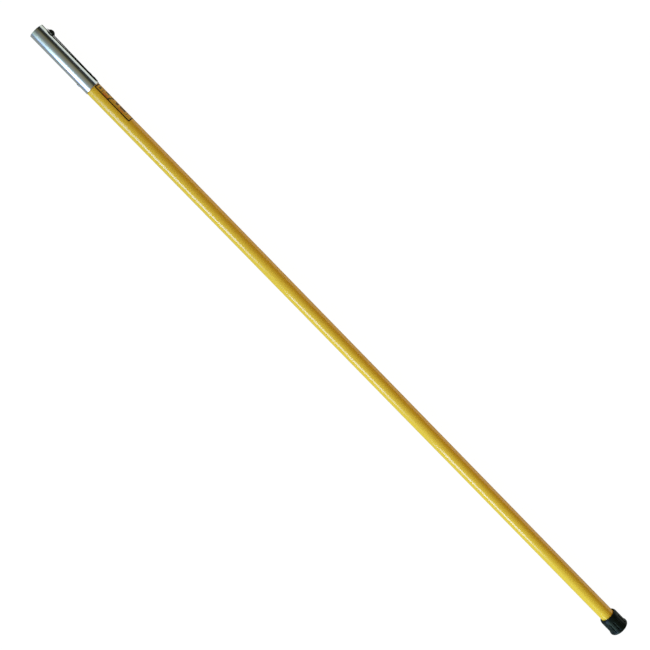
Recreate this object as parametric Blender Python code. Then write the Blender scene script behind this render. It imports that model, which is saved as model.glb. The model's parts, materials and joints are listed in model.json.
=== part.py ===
"""A fibreglass extension pole with a quick-connect socket for painting tools.

The pole lies along X. The origin is the centre of the rubber foot's flat end, +X runs up the pole to the
mouth of the metal socket, and +Z is up. The socket's spring latch is on the -Y side.
Lengths are in metres.
"""

import math

import bmesh
import bpy
from mathutils import Matrix, Vector

# Whole pole
POLE_LENGTH = 1.777
GAP = 0.00015            # between pieces that fit inside one another
SEAT_GAP = 0.0001        # between pieces that rest on one another
ROUND_SEGMENTS = 64
SMALL_SEGMENTS = 24
RIVET_SEGMENTS = 20

# Fibreglass tube
TUBE_RADIUS = 0.015875   # 1 1/4 in outside diameter
TUBE_WALL = 0.0028

# Metal sleeve over the tube's upper end
SLEEVE_LENGTH = 0.1568
SLEEVE_WALL = 0.0008
SLEEVE_CHAMFER = 0.0003
SOCKET_DEPTH = 0.0995    # from the mouth down to the face of the tube's plug

# Plug in the tube's upper end
PLUG_FLANGE = 0.0025
PLUG_LENGTH = 0.020
PLUG_WALL = 0.0025

# Leaf spring on the sleeve's -Y side, by distance from the socket's mouth
SPRING_TIP_AT = 0.0125
SPRING_BEND_AT = 0.122
SPRING_FOOT_AT = 0.1526
SPRING_WIDTH = 0.0110
SPRING_THICKNESS = 0.0011
SPRING_LIFT = 0.0011     # how far the free end stands off the sleeve
SPRING_CLIP = 0.0013     # clipped off each corner of the foot
SPRING_END_TURN = 84     # degrees of each quarter circle at the free end, which leaves a blunt tip

# Button and lock pin on the spring's free end
PIN_AT = 0.0235
PIVOT_AT = 0.118         # the spring bends as if hinged here
BUTTON_RADIUS = 0.0078
BUTTON_HEIGHT = 0.0053
PIN_RADIUS = 0.00395
PIN_NOSE_ROUND = 0.0014
PIN_REACH = 0.005        # how far the pin stands into the socket
PIN_HOLE_RADIUS = 0.0046
COLLAR_RADIUS = 0.0055
TENON_RADIUS = 0.0024
TENON_LENGTH = 0.0033
TENON_HOLE_RADIUS = 0.0026

# Blind rivets
STRIP_RIVETS_AT = {"strip_rivet_upper": 0.132, "strip_rivet_lower": 0.144}
SLEEVE_RIVET_AT = 0.132
RIVET_RADIUS = 0.0024
RIVET_HOLE_RADIUS = 0.0026
RIVET_BULGE_RADIUS = 0.0035
RIVET_BULGE = 0.0030
RIVET_BULGE_CLEAR = 0.0004
HOLE_CUT = 0.012         # length of the cutters for round holes
LOW_HEAD_RADIUS = 0.0036
LOW_HEAD_HEIGHT = 0.0005
DOME_HEAD_RADIUS = 0.0040
DOME_HEAD_HEIGHT = 0.0010
MANDREL_RADIUS = 0.0011
MANDREL_HEAD_RADIUS = 0.0020
MANDREL_HEAD = 0.0016
MANDREL_TIP_RADIUS = 0.0006

# Label film on the tube
LABEL_LENGTH = 0.096
LABEL_BELOW_SLEEVE = 0.0015
LABEL_HALF_ANGLE = math.radians(67.5)
LABEL_CORNER = 0.002
LABEL_THICKNESS = 0.0002

# Rubber tip, by distance from its flat end
TIP_LENGTH = 0.043
TIP_RADIUS = 0.0211
TIP_FLARE_RADIUS = 0.0228
TIP_FLARE_AT = 0.0045
TIP_FLARE_TOP = 0.012
TIP_SHOULDER = 0.007
TIP_RIM_RADIUS = 0.0175
TIP_FLOOR = 0.0086
TREAD_DEPTH = 0.0009
TREAD_RINGS = ((0.0070, 0.0090), (0.0125, 0.0145))
GROOVES = 12
GROOVE_DEPTH = 0.0015
GROOVE_HALF_WIDTH = 0.0019
GROOVE_SIDE_SHARE = 0.75  # depth half way out from the middle line, as a share of the full depth
GROOVE_RUN_OUT = 0.0016
GROOVE_LOW = 0.0065
GROOVE_HIGH = 0.0315
WASHER_THICKNESS = 0.0012
WASHER_RADIUS = 0.0155
WASHER_HOLE_RADIUS = 0.005

# Places that follow from the sizes above
SLEEVE_INNER_RADIUS = TUBE_RADIUS + GAP
SLEEVE_RADIUS = SLEEVE_INNER_RADIUS + SLEEVE_WALL
SLEEVE_LOW_END = POLE_LENGTH - SLEEVE_LENGTH
PLUG_FACE = POLE_LENGTH - SOCKET_DEPTH
TUBE_TOP = PLUG_FACE - PLUG_FLANGE - SEAT_GAP
WASHER_LOW = TIP_FLOOR + SEAT_GAP
TUBE_BOTTOM = WASHER_LOW + WASHER_THICKNESS + SEAT_GAP
TUBE_INNER_RADIUS = TUBE_RADIUS - TUBE_WALL
SPRING_INNER = SLEEVE_RADIUS + SEAT_GAP
SPRING_OUTER = SPRING_INNER + SPRING_THICKNESS
SPRING_TILT = math.atan2(SPRING_LIFT, SPRING_BEND_AT - SPRING_TIP_AT)
PIN_LIFT = (SPRING_BEND_AT - PIN_AT) * math.tan(SPRING_TILT)

OUTWARD_LATCH = Vector((0, -1, 0))
OUTWARD_BACK = Vector((0, 1, 0))


def clear_scene():
    for thing in list(bpy.data.objects):
        bpy.data.objects.remove(thing)


def make_material(name, colour, roughness, metallic=0.0):
    material = bpy.data.materials.new(name)
    material.use_nodes = True
    shader = material.node_tree.nodes["Principled BSDF"]
    shader.inputs["Base Color"].default_value = (*colour, 1.0)
    shader.inputs["Roughness"].default_value = roughness
    shader.inputs["Metallic"].default_value = metallic
    return material


def finish_object(name, bm, material=None, sharp_angle=35):
    """Puts a closed bmesh into the scene as an object, its faces pointing outwards."""
    bmesh.ops.recalc_face_normals(bm, faces=bm.faces)
    mesh = bpy.data.meshes.new(name)
    bm.to_mesh(mesh)
    bm.free()
    mesh.shade_smooth()
    mesh.set_sharp_from_angle(angle=math.radians(sharp_angle))
    thing = bpy.data.objects.new(name, mesh)
    bpy.context.scene.collection.objects.link(thing)
    if material:
        mesh.materials.append(material)
    return thing


def join_rings(bm, rings, close_along=False):
    """Fills quads between neighbouring rings of vertices, each ring running once round the axis."""
    pairs = list(zip(rings, rings[1:]))
    if close_along:
        pairs.append((rings[-1], rings[0]))
    for low, high in pairs:
        count = len(low)
        for i in range(count):
            j = (i + 1) % count
            bm.faces.new((low[i], low[j], high[j], high[i]))


def turned(name, profile, material, segments=ROUND_SEGMENTS, hollow=False):
    """Turns a profile of (along, radius) points about the X axis.

    A solid profile is an open line, and flat caps close its first and last rings.
    A hollow profile is a closed loop that stays clear of the axis.
    """
    bm = bmesh.new()
    rings = []
    for along, radius in profile:
        ring = []
        for i in range(segments):
            angle = 2 * math.pi * i / segments
            ring.append(bm.verts.new((along, radius * math.cos(angle), radius * math.sin(angle))))
        rings.append(ring)
    join_rings(bm, rings, close_along=hollow)
    if not hollow:
        bm.faces.new(rings[0])
        bm.faces.new(rings[-1])
    return finish_object(name, bm, material)


def arc(centre_along, centre_radius, size_along, size_radius, start, end, steps):
    """Points of an elliptical arc in a profile. Angles are in degrees from +radius towards +along."""
    points = []
    for i in range(steps + 1):
        angle = math.radians(start + (end - start) * i / steps)
        points.append((
            centre_along + size_along * math.sin(angle),
            centre_radius + size_radius * math.cos(angle),
        ))
    return points


def aim(thing, place, outward):
    """Puts a piece that was turned about X so that its own +X points outward from the given place."""
    turn = outward.to_track_quat("X", "Z").to_matrix().to_4x4()
    thing.matrix_world = Matrix.Translation(place) @ turn


def cut_round_hole(targets, name, place, outward, radius, length):
    """Cuts a round hole through each target, centred on place and running both ways along outward."""
    cutter = turned(name, [(-length / 2, radius), (length / 2, radius)], None, SMALL_SEGMENTS)
    aim(cutter, place, outward)
    cutter.hide_render = True
    cutter.display_type = "WIRE"
    for target in targets:
        modifier = target.modifiers.new(name, "BOOLEAN")
        modifier.operation = "DIFFERENCE"
        modifier.solver = "EXACT"
        modifier.object = cutter


def from_mouth(distance, outward, radius):
    """The point at this distance below the socket's mouth and this radius from the pole's axis."""
    return Vector((POLE_LENGTH - distance, 0, 0)) + outward * radius


def build_tube(material):
    return turned("pole_tube", [
        (TUBE_BOTTOM, TUBE_RADIUS),
        (TUBE_TOP, TUBE_RADIUS),
        (TUBE_TOP, TUBE_INNER_RADIUS),
        (TUBE_BOTTOM, TUBE_INNER_RADIUS),
    ], material, hollow=True)


def build_sleeve(material):
    mouth = POLE_LENGTH
    return turned("ferrule_sleeve", [
        (SLEEVE_LOW_END, SLEEVE_RADIUS - SLEEVE_CHAMFER),
        (SLEEVE_LOW_END + SLEEVE_CHAMFER, SLEEVE_RADIUS),
        (mouth - SLEEVE_CHAMFER, SLEEVE_RADIUS),
        (mouth, SLEEVE_RADIUS - SLEEVE_CHAMFER),
        (mouth, SLEEVE_INNER_RADIUS),
        (SLEEVE_LOW_END, SLEEVE_INNER_RADIUS),
    ], material, hollow=True)


def build_plug(material):
    """A cup-shaped plug, open towards the inside of the tube, with a flange on the tube's end."""
    shank = TUBE_INNER_RADIUS - GAP
    flange_low = PLUG_FACE - PLUG_FLANGE
    low_end = PLUG_FACE - PLUG_LENGTH
    return turned("tube_plug", [
        (PLUG_FACE, TUBE_RADIUS - 2 * SLEEVE_CHAMFER),
        (PLUG_FACE - SLEEVE_CHAMFER, TUBE_RADIUS - SLEEVE_CHAMFER),
        (flange_low, TUBE_RADIUS - SLEEVE_CHAMFER),
        (flange_low, shank),
        (low_end + SLEEVE_CHAMFER, shank),
        (low_end, shank - SLEEVE_CHAMFER),
        (low_end, shank - PLUG_WALL),
        (flange_low, shank - PLUG_WALL),
    ], material)


def build_spring(material):
    """A flat strip: a foot that lies along the sleeve, a bend, and an arm whose round end stands off it."""
    half = SPRING_WIDTH / 2
    stations = [
        (SPRING_FOOT_AT, half - SPRING_CLIP),
        (SPRING_FOOT_AT - SPRING_CLIP, half),
        (SPRING_BEND_AT, half),
    ]
    round_steps = 8
    for i in range(round_steps + 1):
        angle = math.radians(SPRING_END_TURN) * i / round_steps
        stations.append((SPRING_TIP_AT + half * (1 - math.sin(angle)), half * math.cos(angle)))
    bm = bmesh.new()
    rings = []
    for at, half_width in stations:
        lift = max(0.0, SPRING_BEND_AT - at) * math.tan(SPRING_TILT)
        inner = -(SPRING_INNER + lift)
        outer = -(SPRING_OUTER + lift)
        along = POLE_LENGTH - at
        corners = ((inner, -half_width), (outer, -half_width), (outer, half_width), (inner, half_width))
        rings.append([bm.verts.new((along, y, z)) for y, z in corners])
    join_rings(bm, rings)
    bm.faces.new(rings[0])
    bm.faces.new(rings[-1])
    return finish_object("latch_spring", bm, material)


def build_button(material, pivot):
    """A dome on the spring's outer face, with a blind hole underneath for the pin's tenon."""
    sphere = (BUTTON_RADIUS ** 2 + BUTTON_HEIGHT ** 2) / (2 * BUTTON_HEIGHT)
    rim_angle = math.degrees(math.asin(BUTTON_RADIUS / sphere))
    dome = arc(BUTTON_HEIGHT - sphere, 0, sphere, sphere, 90 - rim_angle, 88, 10)
    hole_depth = TENON_LENGTH - SPRING_THICKNESS + SEAT_GAP
    profile = [(hole_depth, TENON_HOLE_RADIUS), (0, TENON_HOLE_RADIUS)] + dome
    button = turned("latch_button", profile, material, SMALL_SEGMENTS)
    place_on_arm(button, pivot, SPRING_THICKNESS / 2 + SEAT_GAP)
    return button


def build_pin(material, pivot):
    """The lock pin: a tenon up through the spring, a collar that rests on the sleeve, and a rounded nose."""
    collar = PIN_LIFT - SEAT_GAP
    nose = PIN_LIFT + SLEEVE_WALL + PIN_REACH
    edge = PIN_NOSE_ROUND
    profile = arc(edge - nose, PIN_RADIUS - edge, edge, edge, -90, 0, 5)
    profile += [
        (-collar, PIN_RADIUS),
        (-collar, COLLAR_RADIUS),
        (0, COLLAR_RADIUS),
        (0, TENON_RADIUS),
        (TENON_LENGTH, TENON_RADIUS),
    ]
    pin = turned("latch_pin", profile, material, SMALL_SEGMENTS)
    place_on_arm(pin, pivot, -SPRING_THICKNESS / 2 - SEAT_GAP)
    return pin


def build_pivot():
    """An empty on the latch's joint axis, in the spring's middle plane, tilted as the spring's arm is."""
    pivot = bpy.data.objects.new("latch_pivot", None)
    bpy.context.scene.collection.objects.link(pivot)
    pivot.location = from_mouth(PIVOT_AT, OUTWARD_LATCH, (SPRING_INNER + SPRING_OUTER) / 2)
    pivot.rotation_euler = (0, 0, -SPRING_TILT)
    bpy.context.view_layer.update()
    return pivot


def place_on_arm(thing, pivot, height):
    """Parents a turned piece to the pivot, above the pin's place, pointing away from the sleeve."""
    thing.parent = pivot
    thing.rotation_euler = (0, 0, -math.pi / 2)
    arm_stands_off = (SPRING_BEND_AT - PIVOT_AT) * math.tan(SPRING_TILT)
    thing.location = (PIVOT_AT - PIN_AT, -arm_stands_off - height, 0)


def build_rivet(name, place, outward, grip, head, material, mandrel_material):
    """A blind rivet and its mandrel. place is under the head, and grip is the depth of what it clamps."""
    head_radius, head_height, head_steps = head
    bore = MANDREL_RADIUS + GAP
    blind_side = -grip - RIVET_BULGE_CLEAR
    inner_end = blind_side - RIVET_BULGE
    pocket = inner_end + MANDREL_HEAD
    profile = [(inner_end, MANDREL_HEAD_RADIUS + GAP), (inner_end, RIVET_RADIUS + GAP)]
    bulge_out = RIVET_BULGE_RADIUS - RIVET_RADIUS
    profile += arc(blind_side - RIVET_BULGE / 2, RIVET_RADIUS, RIVET_BULGE * 0.45, bulge_out, -75, 75, 4)
    profile += [(blind_side, RIVET_RADIUS), (SEAT_GAP, RIVET_RADIUS), (SEAT_GAP, head_radius)]
    profile += arc(SEAT_GAP, bore + GAP, head_height, head_radius - bore - GAP, 20, 85, head_steps)
    profile += [(head_height + SEAT_GAP, bore), (pocket, bore), (pocket, MANDREL_HEAD_RADIUS + GAP)]
    rivet = turned(name, profile, material, RIVET_SEGMENTS, hollow=True)
    aim(rivet, place, outward)

    mandrel_profile = [
        (inner_end - MANDREL_HEAD / 2, MANDREL_TIP_RADIUS),
        (inner_end - MANDREL_HEAD / 4, MANDREL_HEAD_RADIUS - MANDREL_HEAD / 4),
        (inner_end, MANDREL_HEAD_RADIUS),
        (pocket - GAP, MANDREL_HEAD_RADIUS),
        (pocket - GAP, MANDREL_RADIUS),
        (head_height - GAP, MANDREL_RADIUS),
    ]
    mandrel = turned(name + "_mandrel", mandrel_profile, mandrel_material, RIVET_SEGMENTS)
    aim(mandrel, place, outward)


def build_label(material):
    """A film wrapped round the tube, with round corners, centred on the latch's side."""
    half_arc = LABEL_HALF_ANGLE * TUBE_RADIUS
    corner_steps = 5
    widths = []
    for i in range(corner_steps + 1):
        widths.append(LABEL_CORNER * (1 - math.cos(math.radians(90) * i / corner_steps)))
    facet = 2 * math.pi / ROUND_SEGMENTS * TUBE_RADIUS
    between_corners = int((half_arc - LABEL_CORNER) / facet)
    columns = [width - half_arc for width in widths]
    columns += [i * facet for i in range(-between_corners, between_corners + 1)]
    columns += [half_arc - width for width in reversed(widths)]
    inner = TUBE_RADIUS + SEAT_GAP
    outer = inner + LABEL_THICKNESS
    top = SLEEVE_LOW_END - LABEL_BELOW_SLEEVE
    middle = top - LABEL_LENGTH / 2
    bm = bmesh.new()
    rings = []
    for column in columns:
        into_corner = max(0.0, LABEL_CORNER - (half_arc - abs(column)))
        half_length = LABEL_LENGTH / 2 - LABEL_CORNER
        half_length += math.sqrt(max(0.0, LABEL_CORNER ** 2 - into_corner ** 2))
        angle = column / TUBE_RADIUS
        ring = []
        for along, radius in (
            (middle - half_length, inner),
            (middle + half_length, inner),
            (middle + half_length, outer),
            (middle - half_length, outer),
        ):
            ring.append(bm.verts.new((along, -radius * math.cos(angle), radius * math.sin(angle))))
        rings.append(ring)
    join_rings(bm, rings)
    bm.faces.new(rings[0])
    bm.faces.new(rings[-1])
    return finish_object("label", bm, material)


def tip_profile():
    """The rubber tip's outline as (along, radius, groove share), from its end face to the cup's floor."""
    points = []
    for low, high in TREAD_RINGS:
        points += [(0.0, low, 0), (TREAD_DEPTH, low, 0), (TREAD_DEPTH, high, 0), (0.0, high, 0)]
    edge = TIP_FLARE_AT
    for along, radius in arc(edge, TIP_FLARE_RADIUS - edge, edge, edge, -90, 0, 5):
        points.append((along, radius, 0))
    flare_steps = 5
    flare_length = TIP_FLARE_TOP - TIP_FLARE_AT
    for i in range(1, flare_steps + 1):
        share = i / flare_steps
        ease = (1 + math.cos(math.pi * share)) / 2
        radius = TIP_RADIUS + (TIP_FLARE_RADIUS - TIP_RADIUS) * ease
        along = TIP_FLARE_AT + flare_length * share
        points.append((along, radius, groove_share(along)))
    for run_out_left in (1.0, 0.5, 0.0):
        along = GROOVE_HIGH - GROOVE_RUN_OUT * run_out_left
        points.append((along, TIP_RADIUS, groove_share(along)))
    shoulder_low = TIP_LENGTH - TIP_SHOULDER
    shoulder = arc(shoulder_low, TIP_RIM_RADIUS, TIP_SHOULDER, TIP_RADIUS - TIP_RIM_RADIUS, 0, 90, 5)
    points += [(along, radius, 0) for along, radius in shoulder]
    bore = TUBE_RADIUS + GAP
    points += [(TIP_LENGTH, bore, 0), (TIP_FLOOR, bore, 0)]
    return points


def groove_share(along):
    """How deep the grooves are at this place along the tip, from 0 to 1, with round run-outs at both ends."""
    inside = min(along - GROOVE_LOW, GROOVE_HIGH - along)
    if inside <= 0:
        return 0.0
    if inside >= GROOVE_RUN_OUT:
        return 1.0
    return math.sqrt(1 - (1 - inside / GROOVE_RUN_OUT) ** 2)


def build_tip(material):
    """A rubber cup with a flared foot, ring treads in its end and grooves along its sides."""
    pitch = 2 * math.pi / GROOVES
    groove_edge = GROOVE_HALF_WIDTH / TIP_RADIUS
    groove_section = (
        (0.0, 1.0),
        (groove_edge / 2, GROOVE_SIDE_SHARE),
        (groove_edge, 0.0),
        (pitch / 2, 0.0),
        (pitch - groove_edge, 0.0),
        (pitch - groove_edge / 2, GROOVE_SIDE_SHARE),
    )
    bm = bmesh.new()
    rings = []
    for along, radius, share in tip_profile():
        ring = []
        for groove in range(GROOVES):
            for offset, depth_share in groove_section:
                angle = groove * pitch + offset
                here = radius - GROOVE_DEPTH * share * depth_share
                ring.append(bm.verts.new((along, -here * math.sin(angle), here * math.cos(angle))))
        rings.append(ring)
    join_rings(bm, rings)
    bm.faces.new(rings[0])
    bm.faces.new(rings[-1])
    return finish_object("rubber_tip", bm, material)


def build_washer(material):
    return turned("tip_washer", [
        (WASHER_LOW, WASHER_RADIUS),
        (WASHER_LOW + WASHER_THICKNESS, WASHER_RADIUS),
        (WASHER_LOW + WASHER_THICKNESS, WASHER_HOLE_RADIUS),
        (WASHER_LOW, WASHER_HOLE_RADIUS),
    ], material, hollow=True)


def main():
    clear_scene()
    fibreglass = make_material("yellow_fibreglass", (0.68, 0.45, 0.035), 0.32)
    sleeve_metal = make_material("bright_steel", (0.62, 0.62, 0.62), 0.28, 1.0)
    spring_steel = make_material("black_spring_steel", (0.02, 0.022, 0.02), 0.45, 0.6)
    button_black = make_material("black_oxide_steel", (0.015, 0.018, 0.016), 0.35, 0.5)
    pin_steel = make_material("plain_steel", (0.55, 0.55, 0.55), 0.3, 1.0)
    rivet_metal = make_material("rivet_aluminium", (0.7, 0.7, 0.7), 0.4, 1.0)
    nylon = make_material("black_nylon", (0.03, 0.03, 0.03), 0.5)
    rubber = make_material("black_rubber", (0.025, 0.032, 0.027), 0.6)
    film = make_material("label_film", (0.55, 0.3, 0.08), 0.4)

    tube = build_tube(fibreglass)
    sleeve = build_sleeve(sleeve_metal)
    build_plug(nylon)
    build_label(film)
    build_tip(rubber)
    build_washer(pin_steel)

    spring = build_spring(spring_steel)
    pivot = build_pivot()
    build_button(button_black, pivot)
    build_pin(pin_steel, pivot)

    low_head = (LOW_HEAD_RADIUS, LOW_HEAD_HEIGHT, 2)
    dome_head = (DOME_HEAD_RADIUS, DOME_HEAD_HEIGHT, 4)
    wall_depth = TUBE_WALL + GAP + SLEEVE_WALL
    for name, at in STRIP_RIVETS_AT.items():
        place = from_mouth(at, OUTWARD_LATCH, SPRING_OUTER)
        grip = SPRING_THICKNESS + SEAT_GAP + wall_depth
        build_rivet(name, place, OUTWARD_LATCH, grip, low_head, rivet_metal, pin_steel)
        hole = name + "_hole"
        cut_round_hole([tube, sleeve, spring], hole, place, OUTWARD_LATCH, RIVET_HOLE_RADIUS, HOLE_CUT)
    place = from_mouth(SLEEVE_RIVET_AT, OUTWARD_BACK, SLEEVE_RADIUS)
    build_rivet("sleeve_rivet", place, OUTWARD_BACK, wall_depth, dome_head, rivet_metal, pin_steel)
    cut_round_hole([tube, sleeve], "sleeve_rivet_hole", place, OUTWARD_BACK, RIVET_HOLE_RADIUS, HOLE_CUT)
    pin_place = from_mouth(PIN_AT, OUTWARD_LATCH, SLEEVE_RADIUS)
    cut_round_hole([sleeve], "pin_hole", pin_place, OUTWARD_LATCH, PIN_HOLE_RADIUS, HOLE_CUT / 2)
    cut_round_hole([spring], "tenon_hole", pin_place, OUTWARD_LATCH, TENON_HOLE_RADIUS, HOLE_CUT)


main()
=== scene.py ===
"""The looks of a fibreglass extension pole with a quick-connect socket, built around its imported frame.

The pole lies along X, with its rubber foot at the origin, its socket at the +X end and its latch on the
-Y side. Lengths are in metres.
"""

import json
import math

import bpy
from mathutils import Matrix, Vector


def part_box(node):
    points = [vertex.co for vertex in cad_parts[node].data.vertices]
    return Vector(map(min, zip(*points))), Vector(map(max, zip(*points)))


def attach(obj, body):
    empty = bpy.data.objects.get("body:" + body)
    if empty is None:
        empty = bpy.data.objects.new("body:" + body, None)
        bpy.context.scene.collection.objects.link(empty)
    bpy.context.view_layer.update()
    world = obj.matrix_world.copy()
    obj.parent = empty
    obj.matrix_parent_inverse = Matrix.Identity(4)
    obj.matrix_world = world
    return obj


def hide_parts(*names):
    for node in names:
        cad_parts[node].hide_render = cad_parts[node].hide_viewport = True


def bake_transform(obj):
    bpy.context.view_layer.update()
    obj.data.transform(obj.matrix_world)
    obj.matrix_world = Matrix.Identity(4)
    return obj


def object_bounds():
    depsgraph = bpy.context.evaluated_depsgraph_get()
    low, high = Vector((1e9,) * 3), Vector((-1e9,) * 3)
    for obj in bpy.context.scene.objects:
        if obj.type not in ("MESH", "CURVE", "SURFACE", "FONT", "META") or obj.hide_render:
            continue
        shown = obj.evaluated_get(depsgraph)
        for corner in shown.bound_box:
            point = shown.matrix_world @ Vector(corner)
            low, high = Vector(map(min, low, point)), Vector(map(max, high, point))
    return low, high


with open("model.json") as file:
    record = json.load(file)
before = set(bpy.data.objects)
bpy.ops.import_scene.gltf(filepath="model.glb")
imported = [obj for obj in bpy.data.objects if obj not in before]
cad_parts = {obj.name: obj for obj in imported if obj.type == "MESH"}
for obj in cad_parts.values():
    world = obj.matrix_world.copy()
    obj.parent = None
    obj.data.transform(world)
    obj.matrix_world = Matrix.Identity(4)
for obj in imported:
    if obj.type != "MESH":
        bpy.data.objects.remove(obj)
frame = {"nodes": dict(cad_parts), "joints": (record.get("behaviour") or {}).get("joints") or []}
CAD_LOW, CAD_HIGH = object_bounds()

POLE_BODY = "pole"
LATCH_BODY = "latch"
PIVOT = Vector(frame["joints"][0]["pos_m"])

# Places read from the frame
TUBE_LOW, TUBE_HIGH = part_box("pole_tube")
SLEEVE_LOW, SLEEVE_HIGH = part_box("ferrule_sleeve")
STRIP_LOW, STRIP_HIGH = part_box("latch_spring")
BUTTON_LOW, BUTTON_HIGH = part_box("latch_button")
PLUG_LOW, PLUG_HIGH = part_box("tube_plug")
LABEL_LOW, LABEL_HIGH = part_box("label")
TIP_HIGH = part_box("rubber_tip")[1]

TUBE_RADIUS = TUBE_HIGH.z
SLEEVE_RADIUS = SLEEVE_HIGH.z
MOUTH_X = SLEEVE_HIGH.x
LATCH_SIDE = Vector((0, -1, 0))
BACK_SIDE = Vector((0, 1, 0))

# Sizes that a box can't give
TUBE_WALL = 0.0028
SLEEVE_WALL = 0.0008
STRIP_THICKNESS = 0.0011
STRIP_BEND_BEFORE_PIVOT = 0.004
STRIP_EDGE = 0.0003
STRIP_CLIP = 0.0014
STRIP_END_TURN = math.radians(84)
STRIP_BARE_LENGTH = 0.005
PIN_HOLE_RADIUS = 0.0046
PIN_RADIUS = 0.00395
PIN_COLLAR_RADIUS = 0.0055
TENON_RADIUS = 0.0024
TENON_CLEARANCE = 0.0002
LABEL_HALF_ANGLE = math.radians(67.5)
LABEL_CORNER = 0.002
FILM_LIFT = 0.00003
FILM_THICKNESS = 0.00012
SEAT_GAP = 0.0001
BOND_GAP = 0.00015
PIN_REACH = 0.005
TENON_LENGTH = 0.0033
BUTTON_HEIGHT = 0.00529
RIVET_RADIUS = 0.0024
RIVET_HOLE_RADIUS = 0.0026
RIVET_BULGE = 0.0030
RIVET_BORE = 0.00125
RIVET_POCKET_RADIUS = 0.00215
STRIP_RIVET_HEAD = (0.0036, 0.0005)
SLEEVE_RIVET_HEAD = (0.0040, 0.0010)
LABEL_BORDER = 0.0023
# How far the painted shade on the tube reaches from the sleeve's end
SLEEVE_SHADE_LENGTH = 0.0030
# Over what length the painted shade under the spring fades out towards the spring's free end
SPRING_SHADE_FADE = 0.018

# How long the cutters are that make the holes
HOLE_CUT = 0.012
PIN_HOLE_CUT = 0.006

# What is kept back from the CAD's sizes, and the small ring that ends a turned piece at its axis
TRIM = 0.00005
AXIS_RING = 0.0004

STRIP_RIVETS = ("strip_rivet_upper", "strip_rivet_lower")
MANDRELS = [name + "_mandrel" for name in (*STRIP_RIVETS, "sleeve_rivet")]

# Rubber tip, by distance from its flat end
TIP_RADIUS = 0.0211
TIP_FLARE_RADIUS = TIP_HIGH.z
TIP_FLARE_AT = 0.0045
TIP_FLARE_TOP = 0.012
TIP_SHOULDER = 0.007
TIP_RIM_RADIUS = 0.0175
TIP_FLOOR = 0.0086
TREAD_DEPTH = 0.0009
TREAD_RINGS = ((0.0070, 0.0090), (0.0125, 0.0145))
GROOVES = 12
GROOVE_DEPTH = 0.0015
GROOVE_HALF_WIDTH = 0.0019
GROOVE_LOW = 0.0065
GROOVE_HIGH = 0.0315

# Blocks printed on the label, with no lettering:
# (from its upper end, round from the latch's side, length, width, ink)
DARK_INK = (0.020, 0.022, 0.012)
BROWN_INK = (0.12, 0.065, 0.012)
GREEN_INK = (0.07, 0.075, 0.025)
ORANGE_INK = (0.58, 0.20, 0.020)
LABEL_BARS = (
    (0.0090, 0.0100, 0.0046, 0.0060, GREEN_INK),
    (0.0166, 0.0095, 0.0012, 0.0120, BROWN_INK),
    (0.0270, 0.0045, 0.0085, 0.0050, DARK_INK),
    (0.0270, 0.0142, 0.0140, 0.0045, ORANGE_INK),
    (0.0360, 0.0145, 0.0026, 0.0060, DARK_INK),
    (0.0385, 0.0100, 0.0030, 0.0060, GREEN_INK),
    (0.0415, 0.0055, 0.0034, 0.0055, DARK_INK),
    (0.0542, 0.0075, 0.0065, 0.0070, BROWN_INK),
    (0.0695, 0.0065, 0.0150, 0.0070, BROWN_INK),
    (0.0685, 0.0135, 0.0150, 0.0032, ORANGE_INK),
    (0.0818, 0.0080, 0.0013, 0.0080, GREEN_INK),
    (0.0865, 0.0080, 0.0010, 0.0080, ORANGE_INK),
)

# Light tent: brightness by degrees round the axis from straight up, + towards the latch
TENT = (
    (-180, (0.0, 0.0, 0.0)),
    (-90, (0.20, 0.30, 0.60)),
    (-75, (0.60, 0.85, 1.05)),
    (-60, (0.95, 1.28, 1.15)),
    (-45, (0.75, 1.00, 0.85)),
    (-30, (0.74, 0.92, 0.80)),
    (-15, (0.36, 0.45, 0.47)),
    (0, (0.38, 0.40, 0.34)),
    (15, (0.31, 0.31, 0.24)),
    (30, (0.27, 0.27, 0.15)),
    (42, (0.06, 0.06, 0.04)),
    (79, (0.03, 0.04, 0.05)),
    (90, (1.30, 1.50, 1.60)),
    (180, (0.0, 0.0, 0.0)),
)

# Towards the socket's end the tent dims between these two lengthwise parts of a direction
TENT_FADE_FROM = 0.14
TENT_FADE_TO = 0.21
TENT_FADE_SHARE = 0.6

# The floor as the camera sees it, and as the pole mirrors it on each side, with a painted shadow of the
# pole in its glow beside the latch
FLOOR_SEEN = (0.985, 0.985, 0.985)
FLOOR_SHADE = 0.04
FLOOR_BLEND = 0.06
FLOOR_GLOW_LATCH_SIDE = (0.95, 1.04, 0.92)
FLOOR_GLOW_BACK_SIDE = (0.38, 0.42, 0.40)
FLOOR_PAINTED_SHADOW_BY_LATCH = (0.04, 0.05, 0.04)

# Softboxes in a row on the side away from the latch:
# (name, where its socket end is along the pole, length, height, strength, colour, shares).
# The shares are (place, share of its strength) pairs, from its foot end at 0 to its socket end at 1.
SOFTBOX_DISTANCE = 1.2
SOFTBOX_ANGLE = 57.5
SOFTBOX_SLANT = -4
COOL = (0.37, 0.56, 1.0)
TEAL = (0.62, 1.0, 0.88)
SOCKET_SHARES = ((0.0, 1.0), (0.40, 1.0), (0.60, 0.45), (0.88, 0.18), (1.0, 0.10))
TUBE_SHARES = ((0.0, 0.0), (0.30, 1.0), (0.58, 1.0), (0.62, 0.75), (0.66, 1.0), (1.0, 1.0))
EVEN_SHARES = ((0.0, 1.0), (1.0, 1.0))
SOFTBOXES = (
    ("socket_softbox", 1.96, 0.29, 0.85, 8.1, COOL, SOCKET_SHARES),
    ("head_softbox", 1.67, 0.62, 0.60, 12.0, COOL, TUBE_SHARES),
    ("middle_softbox", 0.949, 0.62, 0.60, 10.5, COOL, TUBE_SHARES),
    ("foot_softbox", 0.190, 0.60, 0.60, 11.5, COOL, TUBE_SHARES),
    ("tip_softbox", -0.74, 0.60, 0.35, 30.0, TEAL, EVEN_SHARES),
)

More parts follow.
